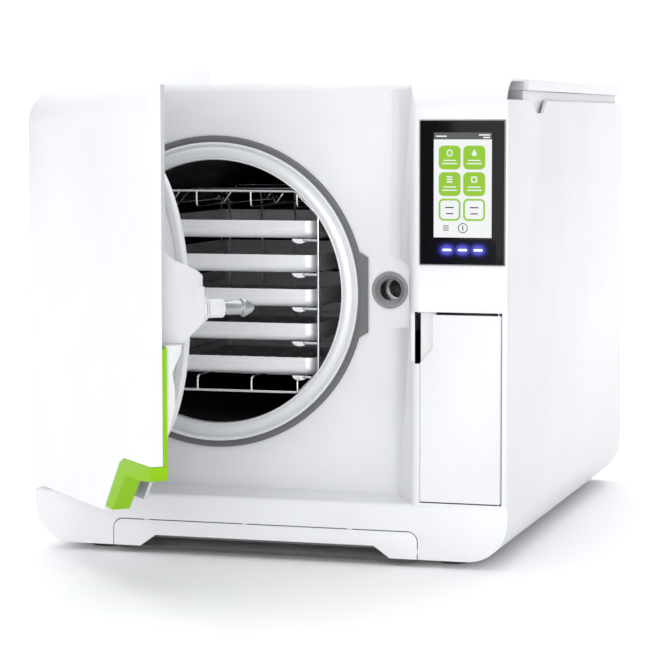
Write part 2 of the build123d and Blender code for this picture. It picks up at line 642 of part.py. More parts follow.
# ---------------------------------------------------------------- door lock in the machine
def make_lock():
    with BuildPart() as bush:
        rod((LOCK_X, FASCIA_Y - 0.8, LOCK_Z), (LOCK_X, FASCIA_Y + 6, LOCK_Z), BUSH_R)
        rod((LOCK_X, FASCIA_Y - 2, LOCK_Z), (LOCK_X, FASCIA_Y + 7, LOCK_Z), LOCK_BORE, mode=Mode.SUBTRACT)
        with Locations(Plane(origin=(LOCK_X, FASCIA_Y - 0.81, LOCK_Z), z_dir=(0, 1, 0)).location):
            Cone(LOCK_BORE + 4, LOCK_BORE, 3, align=(Align.CENTER, Align.CENTER, Align.MIN),
                 mode=Mode.SUBTRACT)
    save(bush, "lock_bushing")
    with BuildPart() as housing:
        rod((LOCK_X, FASCIA_Y + 6, LOCK_Z), (LOCK_X, 124, LOCK_Z), 16)
        rod((LOCK_X, FASCIA_Y, LOCK_Z), (LOCK_X, 92, LOCK_Z), LOCK_BORE, mode=Mode.SUBTRACT)
        rod((LOCK_X, 92, LOCK_Z), (LOCK_X, 99, LOCK_Z), 13, mode=Mode.SUBTRACT)
        rod((LOCK_X, 99, LOCK_Z), (LOCK_X, 120, LOCK_Z), LOCK_BORE, mode=Mode.SUBTRACT)
        rod((LOCK_X, 124, LOCK_Z), (LOCK_X, 172, LOCK_Z), 14)
    save(housing, "lock_motor")
    with BuildPart() as catch:
        rod((LOCK_X, 92.3, LOCK_Z), (LOCK_X, 98.7, LOCK_Z), 12.9)
        rod((LOCK_X, 92, LOCK_Z), (LOCK_X, 99, LOCK_Z), 9, mode=Mode.SUBTRACT)
    save(catch, "lock_catch")


# ---------------------------------------------------------------- rack and trays
def hoop_corners(outline):
    """Outer and inner mitred corners of a hoop bent along an outline."""
    count = len(outline)
    runs = [Vector(*outline[(i + 1) % count]) - Vector(*outline[i]) for i in range(count)]
    normals = [Vector(-run.Y, run.X).normalized() for run in runs]
    corners = []
    for i in range(count):
        before, after = normals[i - 1], normals[i]
        reach = (before + after) * (WIRE_R / (1 + before.dot(after)))
        corners.append((Vector(*outline[i]) + reach, Vector(*outline[i]) - reach))
    return corners


def hoop_inside(w):
    """Half width inside the hoop at a height above the chamber axis."""
    (u0, w0), (u1, w1) = (RACK_SIDE, RACK_SHOULDER), (RACK_FLAT, RACK_TOP)
    span = sqrt((u1 - u0) ** 2 + (w1 - w0) ** 2)
    slope = (w1 - w0) / span, (u0 - u1) / span
    cut = u0 - (WIRE_R + slope[1] * (abs(w) - w0)) / slope[0]
    return min(RACK_SIDE - WIRE_R, cut)


def make_rack():
    """Wire rack: eight-sided hoops joined by long wires, with a runner pair under each tray.

    The wires are solids of their own, set apart by the thin joint at each weld.
    """
    back = RACK_FRONT + RACK_LONG
    hoops = (RACK_FRONT, (RACK_FRONT + back) / 2, back)
    outline = [
        (-RACK_FLAT, RACK_TOP), (RACK_FLAT, RACK_TOP),
        (RACK_SIDE, RACK_SHOULDER), (RACK_SIDE, -RACK_SHOULDER),
        (RACK_FLAT, -RACK_TOP), (-RACK_FLAT, -RACK_TOP),
        (-RACK_SIDE, -RACK_SHOULDER), (-RACK_SIDE, RACK_SHOULDER)]
    corners = hoop_corners(outline)
    with BuildPart() as rack:
        for y in hoops:
            with BuildSketch(facing(y - WIRE_R)):
                with Locations((CHAMBER_X, CHAMBER_Z)):
                    for i, (outer, inner) in enumerate(corners):
                        next_outer, next_inner = corners[(i + 1) % len(corners)]
                        gap = (next_outer - outer).normalized() * WELD
                        Polygon(outer + gap, next_outer - gap, next_inner - gap, inner + gap, align=None)
            extrude(amount=-2 * WIRE_R)
        for near, far in zip(hoops, hoops[1:]):
            for u in (-RACK_FLAT + 2, -48, 0, 48, RACK_FLAT - 2):
                for w in (RACK_TOP, -RACK_TOP):
                    x, z = CHAMBER_X + u, CHAMBER_Z + w
                    rod((x, near + WIRE_R + WELD, z), (x, far - WIRE_R - WELD, z), WIRE_R * 0.9)
        for level in range(5):
            z = TRAY_LOW + TRAY_PITCH * level - RUNNER_HALF - 0.2
            for side in (-1, 1):
                x = CHAMBER_X + side * RUNNER_U
                block((x - RUNNER_HALF, x + RUNNER_HALF), (RACK_FRONT - 1, back + 1),
                      (z - RUNNER_HALF, z + RUNNER_HALF))
                start = CHAMBER_X + side * (RUNNER_U + RUNNER_HALF + WELD)
                above = CHAMBER_X + side * (hoop_inside(z + 1 - CHAMBER_Z) - WELD)
                below = CHAMBER_X + side * (hoop_inside(z - 1 - CHAMBER_Z) - WELD)
                for y in hoops:
                    with BuildSketch(facing(y - 1)):
                        with BuildLine():
                            Polyline(
                                (start, z - 1), (start, z + 1), (above, z + 1), (below, z - 1),
                                close=True)
                        make_face()
                    extrude(amount=-2)
    save(rack, "rack")


def make_trays():
    y0, y1 = TRAY_FRONT, TRAY_FRONT + TRAY_LONG
    for level in range(5):
        low = TRAY_LOW + TRAY_PITCH * level
        limits = (CHAMBER_X - TRAY_HALF, CHAMBER_X + TRAY_HALF)
        with BuildPart() as tray:
            block(limits, (y0, y1), (low, low + TRAY_HIGH))
            fillet(edges().filter_by(Axis.Z), 12)
            fillet(edges().group_by(Axis.Z)[0], 7)
            with BuildSketch(Plane.XY.offset(low + 1.2)):
                with Locations((CHAMBER_X, (y0 + y1) / 2)):
                    RectangleRounded(2 * TRAY_HALF - 14, TRAY_LONG - 14, 5)
            extrude(amount=TRAY_HIGH, mode=Mode.SUBTRACT)
            with BuildSketch(Plane.XY.offset(low + 7)):
                with Locations((CHAMBER_X, (y0 + y1) / 2)):
                    RectangleRounded(2 * TRAY_HALF - 2.4, TRAY_LONG - 2.4, 10.8)
            extrude(amount=TRAY_HIGH, mode=Mode.SUBTRACT)
            with Locations((CHAMBER_X, (y0 + y1) / 2, low)):
                with GridLocations(30, 40, 5, 6):
                    Cylinder(3, 6, mode=Mode.SUBTRACT)
        save(tray, f"tray_{level + 1}")


# ---------------------------------------------------------------- door
def door_outline(inset, top_drop=0.0):
    """Corner points of the door in front view, clockwise from the upper left."""
    return [
        (DOOR_LEFT + inset, 445 - top_drop), (DOOR_RIGHT - inset, 452 - top_drop),
        (DOOR_RIGHT - inset, 122.5 + inset), (62.6, 121 + inset), (51, 116 + inset),
        (8, 72 + inset), (4, 67.5 + inset), (-191, 62 + inset), (DOOR_LEFT + inset, 62 + inset)]


def door_solid(inset, front, rear):
    """Door cover's volume with its rounded hood, set in by a wall."""
    radius = 34 - inset
    points = door_outline(inset, inset)
    with BuildPart() as solid:
        with BuildSketch(facing(front)):
            with BuildLine():
                Polyline(*points, close=True)
            make_face()
            fillet(vertices().sort_by_distance(points[0])[0], 40 - inset)
            fillet(vertices().sort_by_distance(points[-1])[0], 30 - inset)
        extrude(amount=front - rear)
        # the hood's round brow rises with its top edge
        lean = degrees(atan2(7, DOOR_RIGHT - DOOR_LEFT))
        along = Vector(1, 0, 0).rotate(Axis.Y, -lean)
        brow = Plane(origin=(DOOR_LEFT, 0, 445 - inset), x_dir=(0, 1, 0), z_dir=along)
        with BuildSketch(brow.offset(-20)):
            with Locations((front - 1, 5)):
                Rectangle(radius + 1, radius + 5, align=(Align.MIN, Align.MAX))
            with Locations((front + radius, -radius)):
                Circle(radius, mode=Mode.SUBTRACT)
        extrude(amount=DOOR_RIGHT - DOOR_LEFT + 40, mode=Mode.SUBTRACT)
    return solid.part


def make_door_cover():
    with BuildPart() as cover:
        add(door_solid(0, 0, DOOR_DEPTH))
        add(door_solid(DOOR_SKIN, DOOR_SKIN, DOOR_DEPTH + 2), mode=Mode.SUBTRACT)
        # free edge is a shallow rim below the hood
        block((60, DOOR_RIGHT + 1), (RIM, DOOR_DEPTH + 1), (60, 440), mode=Mode.SUBTRACT)
        block((-60, 61), (RIM + 10, DOOR_DEPTH + 1), (60, 130), mode=Mode.SUBTRACT)
        for z in HINGE_LEVELS:
            block((DOOR_LEFT - 1, HINGE_X + 12), (10, DOOR_DEPTH + 1), (z - 16, z + 16), mode=Mode.SUBTRACT)
    save(cover, "door_cover", SWUNG)


def make_door_inside():
    with BuildPart() as liner:
        with BuildSketch(Plane.XY.offset(60)):
            with BuildLine():
                Polyline(
                    (DOOR_LEFT, 37), (59, 37), (114.5, 14.5), (116, 17.2), (60, 40), (DOOR_LEFT, 40),
                    close=True)
            make_face()
        extrude(amount=400)
        add(door_solid(DOOR_SKIN + 3, 1, DOOR_DEPTH), mode=Mode.INTERSECT)
        with Locations(Plane(origin=(CHAMBER_X, 40, CHAMBER_Z), z_dir=(0, 1, 0)).location):
            Cone(PLATE_R - 2, PLATE_R - 6, 10, align=(Align.CENTER, Align.CENTER, Align.MIN))
        for z in HINGE_LEVELS:
            block((DOOR_LEFT - 1, HINGE_X + 12), (30, DOOR_DEPTH + 1), (z - 16, z + 16), mode=Mode.SUBTRACT)
        rod((CHAMBER_X, 30, CHAMBER_Z), (CHAMBER_X, 60, CHAMBER_Z), 5.05, mode=Mode.SUBTRACT)
    save(liner, "door_liner", SWUNG)
    with BuildPart() as stiffener:
        block((-200, 58), (20, 23), (CHAMBER_Z - 40, CHAMBER_Z + 40))
        for z in (CHAMBER_Z - 40, CHAMBER_Z + 37):
            block((-200, 58), (23, 36.9), (z, z + 3))
        rod((CHAMBER_X, 19, CHAMBER_Z), (CHAMBER_X, 24, CHAMBER_Z), 5.05, mode=Mode.SUBTRACT)
        for z in HINGE_LEVELS:
            block((HINGE_X + 12.5, -185), (20, 36.9), (z - 14, z + 14))
            rod((HINGE_X, HINGE_Y, z - 14), (HINGE_X, HINGE_Y, z - 8), 8)
            rod((HINGE_X, HINGE_Y, z + 8), (HINGE_X, HINGE_Y, z + 14), 8)
            block((HINGE_X, -196), (20, 30), (z - 14, z - 8))
            block((HINGE_X, -196), (20, 30), (z + 8, z + 14))
            rod((HINGE_X, HINGE_Y, z - 15), (HINGE_X, HINGE_Y, z + 15), HINGE_R + RUNNING,
                mode=Mode.SUBTRACT)
        block((-200, -188), (20, 23), (HINGE_LEVELS[0], HINGE_LEVELS[1]))
    save(stiffener, "door_hinge_frame", SWUNG)
    with BuildPart() as plate:
        add(turned([
            (0, 50.2), (PLATE_R - 7, 50.2), (PLATE_R, 54), (PLATE_R, 57.5), (PLATE_R - 3, 60),
            (PLATE_R - 5, 60), (PLATE_R - 5, 56), (PLATE_R - 11, 56), (PLATE_R - 11, 60),
            (CHAMBER_R - 6, 60), (CHAMBER_R - 12, 56), (0, 56)]))
        # centre bolt that carries the plate through the liner
        rod((CHAMBER_X, 12, CHAMBER_Z), (CHAMBER_X, 57, CHAMBER_Z), 5)
        rod((CHAMBER_X, 12, CHAMBER_Z), (CHAMBER_X, 19.9, CHAMBER_Z), 10)
        rod((CHAMBER_X, 56, CHAMBER_Z), (CHAMBER_X, 59.5, CHAMBER_Z), 12)
    save(plate, "pressure_plate", SWUNG)
    with BuildPart() as seal:
        add(turned([
            (PLATE_R - 10.9, 56), (PLATE_R - 5.1, 56), (PLATE_R - 5.1, 60), (PLATE_R - 8, 60.2),
            (PLATE_R - 10.9, 60)]))
    save(seal, "door_seal", SWUNG)


def make_hinges():
    with BuildPart() as bracket:
        for z in HINGE_LEVELS:
            block((HINGE_X - 7, HINGE_X + 7), (HINGE_Y, FASCIA_Y), (z - 7.7, z + 7.7))
            rod((HINGE_X, HINGE_Y, z - 7.7), (HINGE_X, HINGE_Y, z + 7.7), 7)
            rod((HINGE_X, HINGE_Y, z - 9), (HINGE_X, HINGE_Y, z + 9), HINGE_R, mode=Mode.SUBTRACT)
    save(bracket, "hinge_brackets")
    with BuildPart() as pins:
        for z in HINGE_LEVELS:
            rod((HINGE_X, HINGE_Y, z - 14), (HINGE_X, HINGE_Y, z + 14), HINGE_R)
    save(pins, "hinge_pins")


def make_door_lock():
    with BuildPart() as lock_block:
        with BuildSketch(across(66)):
            with BuildLine():
                Polyline(
                    (RIM + 1, LOCK_Z + 57), (28, LOCK_Z + 43), (50, LOCK_Z + 33), (55, LOCK_Z + 29),
                    (55, LOCK_Z - 10), (36, LOCK_Z - 27.5), (RIM + 1, LOCK_Z - 27.5), close=True)
            make_face()
        extrude(amount=52)
        # the part in front of the liner is open, and the plate's edge is cleared
        with BuildSketch(Plane.XY.offset(190)):
            with BuildLine():
                Polyline((50, 5), (50, 44.1), (60, 40.1), (116.1, 17.3), (116.1, 5), close=True)
            make_face()
        extrude(amount=140, mode=Mode.SUBTRACT)
        add(turned([(0, 30), (PLATE_R + 0.4, 30), (PLATE_R + 0.4, 62), (0, 62)]), mode=Mode.SUBTRACT)
        rod((LOCK_X, 41, LOCK_Z), (LOCK_X, 57, LOCK_Z), 8, mode=Mode.SUBTRACT)
        # upper corner clears the slanted wall above the lock pocket
        with BuildSketch(Plane.XY.offset(LOCK_Z + 20)):
            with BuildLine():
                Polyline((slant(20) - 2.5, 20), (slant(62) - 2.5, 62), (140, 62), (140, 20), close=True)
            make_face()
        extrude(amount=60, mode=Mode.SUBTRACT)
    save(lock_block, "lock_block", SWUNG)
    with BuildPart() as pin:
        with BuildSketch(Plane(origin=(LOCK_X, 0, LOCK_Z))):
            with BuildLine():
                Polyline(
                    (0, 41), (8, 41), (8, 55), (12.8, 55), (12.8, 58), (10.5, 58), (10.5, 60.5),
                    (8, 60.5), (8, 76), (6, 78), (6, 92), (7.8, 93), (7.8, 95.5), (5, 101),
                    (1.5, 104.5), (0, 104.5), close=True)
            make_face()
        revolve(axis=Axis((LOCK_X, 0, LOCK_Z), (0, 1, 0)))
    save(pin, "locking_pin", SWUNG)


def make_handle():
    with BuildPart() as handle:
        # foot and cross bar fill the cut-away corner of the cover
        with BuildSketch(facing(0)):
            with BuildLine():
                Polyline(
                    (8.6, 71.6), (29, 71), (68, 106), (104, 107), (132, 109.5), (135.5, 113),
                    (135.5, 122.1), (62.8, 120.7), (51.4, 115.6), close=True)
            make_face()
        extrude(amount=-15.5)
        # thin strip behind the rim
        block((118, 134.6), (RIM + 0.2, 15.5), (112, 222))
        chamfer(edges().filter_by(Axis.X).group_by(Axis.Z)[-1].sort_by(Axis.Y)[0], 3)
    save(handle, "door_handle", SWUNG)
    with BuildPart() as grip:
        with BuildSketch(across(117)):
            with BuildLine():
                Polyline(
                    (15.7, 223), (32, 223), (31, 216), (21.5, 200), (24.5, 186), (24.5, 172), (15.7, 140),
                    close=True)
            make_face()
        extrude(amount=14)
        # outer side runs along the slanted wall when the door is shut
        with BuildSketch(Plane.XY.offset(130)):
            with BuildLine():
                Polyline((slant(10) - 2, 10), (slant(40) - 2, 40), (140, 40), (140, 10), close=True)
            make_face()
        extrude(amount=110, mode=Mode.SUBTRACT)
    save(grip, "grip_back", SWUNG)


# ---------------------------------------------------------------- plumbing and electrics
def make_steam_generator():
    x, y = 178.0, 150.0
    with BuildPart() as generator:
        rod((x, y, 44), (x, y, 190), 36)
        rod((x, y, 190), (x, y, 196), 40)
        rod((x, y, 196), (x, y, 204), 9)
        for turn in (-18, 18):
            rod((x + turn, y, 196), (x + turn, y, 210), 3.5)
        block((x - 40, x + 40), (y - 40, y + 40), (FLAP_TOP + 3.2, 44))
    save(generator, "steam_generator")
    with BuildPart() as pipes:
        # steam from the generator to the back of the chamber
        with BuildLine() as steam:
            FilletPolyline(
                (x, y, 204.2), (x, y, 240), (x, 480, 240), (CHAMBER_X, 480, 240),
                (CHAMBER_X, CHAMBER_BACK + 15.2, 240), radius=16)
        with BuildSketch(Plane(origin=steam.line @ 0, z_dir=steam.line % 0)):
            Circle(4)
        sweep(path=steam.line)
        # drain from under the chamber to the vacuum pump
        with BuildLine() as drain:
            FilletPolyline(
                (CHAMBER_X, 406.5, CHAMBER_Z - CHAMBER_R - 3.3), (CHAMBER_X, 406.5, 74),
                (60, 406.5, 74), (60, 350, 74), (95.8, 350, 74), radius=12)
        with BuildSketch(Plane(origin=drain.line @ 0, z_dir=drain.line % 0)):
            Circle(5)
        sweep(path=drain.line)
    save(pipes, "pipework")


def make_vacuum_pump():
    with BuildPart() as pump:
        rod((100, 350, 52), (170, 350, 52), 34)
        rod((170, 350, 52), (205, 350, 52), 26)
        block((98, 172), (318, 382), (FLOOR, 24))
        block((96, 130), (332, 368), (80, 104))
    save(pump, "vacuum_pump")


def make_condenser():
    with BuildPart() as condenser:
        block((90, 210), (480, 484), (70, 190))
        block((90, 210), (500, 504), (70, 190))
        block((90, 94), (484, 500), (70, 190))
        block((206, 210), (484, 500), (70, 190))
        with Locations((150, 492, 130)):
            with GridLocations(7, 1, 16, 1):
                Box(1, 16.2, 118)
        # fan shroud behind the fins
        block((92, 208), (504, 566), (72, 188))
        block((96, 204), (503, 536), (76, 184), mode=Mode.SUBTRACT)
        rod((FAN_X, 530, FAN_Z), (FAN_X, 570, FAN_Z), 52, mode=Mode.SUBTRACT)
        block((FAN_X - 54, FAN_X + 54), (562, 566), (FAN_Z - 4, FAN_Z + 4))
        rod((FAN_X, 558, FAN_Z), (FAN_X, 566, FAN_Z), 16)
        rod((FAN_X, 550, FAN_Z), (FAN_X, 560, FAN_Z), 3)
    save(condenser, "condenser")
    with BuildPart() as rotor:
        rod((FAN_X, 542, FAN_Z), (FAN_X, 557.5, FAN_Z), 18)
        for turn in range(7):
            hub = Plane(origin=(FAN_X, 550, FAN_Z), x_dir=(1, 0, 0), z_dir=(0, -1, 0))
            blade = hub.location * Rot(0, 0, 360 / 7 * turn) * Pos(33, 0, 0) * Rot(35, 0, 0)
            with Locations(blade):
                Box(34, 16, 1.6)
        rod((FAN_X, 549.9, FAN_Z), (FAN_X, 558, FAN_Z), 3 + RUNNING, mode=Mode.SUBTRACT)
    save(rotor, "fan_rotor")


def make_tanks():
    for (x, y), label in zip(CAPS, ("clean_water_tank", "used_water_tank")):
        with BuildPart() as tank:
            block(TANK_X, (y - 70, y + 110), TANK_Z)
            fillet(edges().filter_by(Axis.Z), 8)
            inside_x = (TANK_X[0] + WALL, TANK_X[1] - WALL)
            inside_z = (TANK_Z[0] + WALL, TANK_Z[1] - WALL)
            block(inside_x, (y - 67, y + 107), inside_z, mode=Mode.SUBTRACT)
            rod((x, y, 415), (x, y, 429), 21)
            rod((x, y, 414), (x, y, 430), 18, mode=Mode.SUBTRACT)
        save(tank, label)
    for (x, y), label in zip(CAPS, ("clean_tank_cap", "used_tank_cap")):
        with BuildPart() as cap:
            rod((x, y, 429), (x, y, 432.5), 23)
            rod((x, y, 420), (x, y, 429), 17.9)
            block((x - 16, x + 16), (y - 2.5, y + 2.5), (432, 437))
        save(cap, label)


def make_control_board():
    with BuildPart() as board:
        block((216, 217.6), (230, 400), (70, 230))
        for y in (250, 300, 350):
            block((206, 216), (y, y + 26), (110, 150))
        for y in (245, 270, 295, 320):
            rod((216, y, 195), (198, y, 195), 7)
    save(board, "control_board")


make_side_panels()
make_base()
make_feet()
make_front_panel()
make_rear_panel()
make_rear_fittings()
make_tank_deck()
make_lid()
make_drawer()
make_service_bay()
make_service_fittings()
make_service_door()
make_display()
make_chamber()
make_lock()
make_rack()
make_trays()
make_door_cover()
make_door_inside()
make_hinges()
make_door_lock()
make_handle()
make_steam_generator()
make_vacuum_pump()
make_condenser()
make_tanks()
make_control_board()
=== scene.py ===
import json
import math

import bmesh
import bpy
from mathutils import Matrix, Vector


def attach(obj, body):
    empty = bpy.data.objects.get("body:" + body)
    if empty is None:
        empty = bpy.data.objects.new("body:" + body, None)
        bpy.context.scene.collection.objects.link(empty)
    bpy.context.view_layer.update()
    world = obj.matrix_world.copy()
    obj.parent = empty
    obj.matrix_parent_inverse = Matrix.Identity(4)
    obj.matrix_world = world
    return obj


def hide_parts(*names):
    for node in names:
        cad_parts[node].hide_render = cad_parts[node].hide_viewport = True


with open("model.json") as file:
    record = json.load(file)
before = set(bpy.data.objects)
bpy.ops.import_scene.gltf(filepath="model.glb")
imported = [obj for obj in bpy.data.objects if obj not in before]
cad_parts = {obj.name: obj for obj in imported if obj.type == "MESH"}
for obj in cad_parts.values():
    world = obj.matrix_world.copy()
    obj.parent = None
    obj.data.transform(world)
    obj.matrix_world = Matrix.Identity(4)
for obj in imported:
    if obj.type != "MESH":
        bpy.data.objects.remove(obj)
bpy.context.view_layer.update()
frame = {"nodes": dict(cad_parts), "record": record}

# Benchtop autoclave. Lengths in the helper calls are millimetres in the machine frame: X = 0 is the
# machine's centre plane, Y = 0 the front of base and column, Z = 0 the bench.
ORIGIN = Vector((0.006, -0.1677, 0.0))
HINGE = Vector((-215.0, 25.0, 0.0))
DOOR_OPEN = math.radians(51)
CHAMBER = Vector((-70.0, 0.0, 246.0))       # on the chamber's axis
LOCK = Vector((105.0, 0.0, 251.0))          # on the lock's axis, with the door shut

EDGE_STEPS = 3                              # segments of a softened edge
EDGE_ANGLE = math.radians(28)               # edges sharper than this are softened

GLASS = (149.3, 229.4, 278.8, 410.9)        # display glass with its bead: left, right, low, high
GLASS_FACE = -0.45
PRINT_FACE = GLASS_FACE - 0.05              # printed areas lie in front of the lit screen
MARK_FACE = GLASS_FACE - 0.1                # and their marks in front of those
LCD = (163.0, 216.8, 304.3, 399.3)
TILE = 20.4
TILE_PITCH = (22.8, 24.0)
LAMPS_X = (175.4, 189.9, 204.4)
LAMPS_Z = 293.0

HOOPS_Y = (80, 225, 370)                    # front, middle and rear hoop of the rack
HOOP_R = 1.5
WIRE_R = 1.25
HOOP_SIDE = 99.2
RUNNER_U = 84.0                             # runners, from the chamber's axis
TRAY_LOW = 165.5
TRAY_PITCH = 33.0

STAGE_HALF = 7.0                            # studio floor and backdrop, metres
STAGE_FRONT = -6.0
STAGE_BEND = 5.2
STAGE_RADIUS = 1.2
STAGE_TOP = 6.0

SWING = Matrix.Translation(HINGE) @ Matrix.Rotation(-DOOR_OPEN, 4, "Z") @ Matrix.Translation(-HINGE)


def row(x, y, z, swung=False):
    """Point of the machine frame, in metres in the row frame; door pieces are given as if shut."""
    p = Vector((x, y, z))
    if swung:
        p = SWING @ p
    return p / 1000 + ORIGIN


# ---------------------------------------------------------------- materials
def material(name):
    made = bpy.data.materials.new(name)
    made.use_nodes = True
    nodes = made.node_tree.nodes
    return made, nodes, made.node_tree.links, nodes["Principled BSDF"]


def coordinates(nodes, links, stretch=(1, 1, 1), centre=(0, 0, 0)):
    place = nodes.new("ShaderNodeTexCoord")
    mapping = nodes.new("ShaderNodeMapping")
    mapping.inputs["Scale"].default_value = stretch
    mapping.inputs["Location"].default_value = [-c * s for c, s in zip(centre, stretch)]
    links.new(place.outputs["Object"], mapping.inputs["Vector"])
    return mapping.outputs["Vector"]


def noise(nodes, links, vector, scale, detail=3.0, rough=0.5):
    texture = nodes.new("ShaderNodeTexNoise")
    texture.inputs["Scale"].default_value = scale
    texture.inputs["Detail"].default_value = detail
    texture.inputs["Roughness"].default_value = rough
    links.new(vector, texture.inputs["Vector"])
    return texture.outputs["Fac"]


def ramp(nodes, links, factor, stops):
    node = nodes.new("ShaderNodeValToRGB")
    elements = node.color_ramp.elements
    while len(elements) < len(stops):
        elements.new(0.5)
    for element, (position, colour) in zip(elements, stops):
        element.position = position
        element.color = (*colour, 1)
    links.new(factor, node.inputs["Fac"])
    return node.outputs["Color"]


def spread(nodes, links, factor, low, high):
    node = nodes.new("ShaderNodeMapRange")
    node.inputs["To Min"].default_value = low
    node.inputs["To Max"].default_value = high
    links.new(factor, node.inputs["Value"])
    return node.outputs["Result"]


def bump(nodes, links, height, shader, strength, distance):
    node = nodes.new("ShaderNodeBump")
    node.inputs["Strength"].default_value = strength
    node.inputs["Distance"].default_value = distance
    links.new(height, node.inputs["Height"])
    links.new(node.outputs["Normal"], shader.inputs["Normal"])


def tinted(colour, factor):
    return tuple(min(1.0, c * factor) for c in colour)


def moulded(name, colour, roughness, grain=900.0, depth=0.00002, coat=0.0, vary=0.03):
    """Moulded plastic: fine spark-eroded grain, slight cloudiness and uneven gloss."""
    made, nodes, links, shader = material(name)
    place = coordinates(nodes, links)
    cloud = noise(nodes, links, place, 9.0, 4.0)
    colours = ramp(nodes, links, cloud, [(0.3, tinted(colour, 1 - vary)), (0.7, tinted(colour, 1 + vary))])
    links.new(colours, shader.inputs["Base Color"])
    fine = noise(nodes, links, place, grain, 2.0)
    links.new(spread(nodes, links, cloud, roughness * 0.85, roughness * 1.15), shader.inputs["Roughness"])
    bump(nodes, links, fine, shader, 0.35, depth)
    shader.inputs["Coat Weight"].default_value = coat
    shader.inputs["Coat Roughness"].default_value = 0.12
    shader.inputs["IOR"].default_value = 1.49
    return made


def brushed(nodes, links, marks, colour, vary):
    """Colour that varies with the brush marks."""
    return ramp(nodes, links, marks, [(0.35, tinted(colour, 1 - vary)), (0.65, tinted(colour, 1 + vary))])


def drawn_metal(name, colour, roughness, stretch, grain=400.0, depth=0.00001, vary=0.10,
                metallic=1.0):
    """Metal with brush marks along the axis that stretch makes long."""
    made, nodes, links, shader = material(name)
    place = coordinates(nodes, links, stretch)
    marks = noise(nodes, links, place, grain, 3.0, 0.6)
    cloud = noise(nodes, links, coordinates(nodes, links), 14.0, 3.0)
    links.new(brushed(nodes, links, marks, colour, vary), shader.inputs["Base Color"])
    links.new(spread(nodes, links, cloud, roughness * 0.8, roughness * 1.25), shader.inputs["Roughness"])
    bump(nodes, links, marks, shader, 0.3, depth)
    shader.inputs["Metallic"].default_value = metallic
    return made


def turned_metal(name, colour, roughness, centre, grain=1500.0, metallic=1.0, vary=0.10):
    """Metal with circular brush marks round an axis that runs front to back."""
    made, nodes, links, shader = material(name)
    place = coordinates(nodes, links, (1, 1, 1), centre)
    parts = nodes.new("ShaderNodeSeparateXYZ")
    links.new(place, parts.inputs["Vector"])
    flat = nodes.new("ShaderNodeCombineXYZ")
    links.new(parts.outputs["X"], flat.inputs["X"])
    links.new(parts.outputs["Z"], flat.inputs["Z"])
    length = nodes.new("ShaderNodeVectorMath")
    length.operation = "LENGTH"
    links.new(flat.outputs["Vector"], length.inputs[0])
    rings = nodes.new("ShaderNodeCombineXYZ")
    links.new(length.outputs["Value"], rings.inputs["X"])
    links.new(parts.outputs["Y"], rings.inputs["Y"])
    marks = noise(nodes, links, rings.outputs["Vector"], grain, 2.0, 0.6)
    cloud = noise(nodes, links, place, 12.0, 3.0)
    links.new(brushed(nodes, links, marks, colour, vary), shader.inputs["Base Color"])
    links.new(spread(nodes, links, cloud, roughness * 0.85, roughness * 1.2), shader.inputs["Roughness"])
    bump(nodes, links, marks, shader, 0.25, 0.00001)
    shader.inputs["Metallic"].default_value = metallic
    return made


def speckled(name, dark, light, roughness, metallic, scale, share, stretch=(1, 1, 1)):
    """Dark surface with scattered lighter specks."""
    made, nodes, links, shader = material(name)
    place = coordinates(nodes, links, stretch)
    specks = noise(nodes, links, place, scale, 6.0, 0.75)
    colours = ramp(nodes, links, specks, [(share - 0.06, dark), (share + 0.1, light)])
    links.new(colours, shader.inputs["Base Color"])
    cloud = noise(nodes, links, place, scale / 8, 3.0)
    links.new(spread(nodes, links, cloud, roughness * 0.7, roughness * 1.2), shader.inputs["Roughness"])
    bump(nodes, links, specks, shader, 0.4, 0.0001)
    shader.inputs["Metallic"].default_value = metallic
    return made


def lit(name, colour, strength, vary=0.02):
    """Lit screen area, very slightly uneven like a backlight."""
    made, nodes, links, shader = material(name)
    cloud = noise(nodes, links, coordinates(nodes, links), 40.0, 2.0)
    colours = ramp(nodes, links, cloud, [(0.3, tinted(colour, 1 - vary)), (0.7, tinted(colour, 1 + vary))])
    links.new(colours, shader.inputs["Emission Color"])
    shader.inputs["Base Color"].default_value = (0.01, 0.01, 0.01, 1)
    shader.inputs["Specular IOR Level"].default_value = 0.05
    shader.inputs["Emission Strength"].default_value = strength
    shader.inputs["Roughness"].default_value = 0.25
    return made


def low_specular(look, level):
    look.node_tree.nodes["Principled BSDF"].inputs["Specular IOR Level"].default_value = level


ring_centre = row(*CHAMBER)
lock_centre = row(*LOCK)
WHITE = moulded("white_moulding", (0.79, 0.795, 0.807), 0.36, coat=0.1)
DOOR_WHITE = moulded("white_door_moulding", (0.82, 0.825, 0.838), 0.34, coat=0.1)
LIGHT = moulded("light_grey_moulding", (0.70, 0.705, 0.715), 0.5)
TEXTURED = moulded("textured_grey_moulding", (0.68, 0.685, 0.695), 0.6, 650.0, 0.00018, vary=0.05)
GREEN = moulded("green_moulding", (0.26, 0.53, 0.008), 0.45, 1100.0, 0.00001)
low_specular(GREEN, 0.12)
GREY = moulded("grey_moulding", (0.19, 0.195, 0.20), 0.42)
BLACK = moulded("black_moulding", (0.004, 0.004, 0.0045), 0.2, vary=0.1)
RED = moulded("red_moulding", (0.45, 0.03, 0.025), 0.35)
TRIM = moulded("grey_trim_rubber", (0.15, 0.152, 0.157), 0.6, 700.0, 0.00003, vary=0.08)
# dark rubber of the feet, also used as painted shade in the flap's gap and in the locking pin's grooves
RUBBER_AND_SHADE = moulded("dark_rubber", (0.060, 0.062, 0.066), 0.62, 700.0, 0.00003, vary=0.08)
SILICONE = moulded("silicone", (0.55, 0.56, 0.57), 0.45)
TANK = moulded("tank_plastic", (0.62, 0.66, 0.68), 0.3)
BOARD = speckled("solder_mask", (0.01, 0.09, 0.035), (0.03, 0.20, 0.09), 0.4, 0.0, 300.0, 0.6)
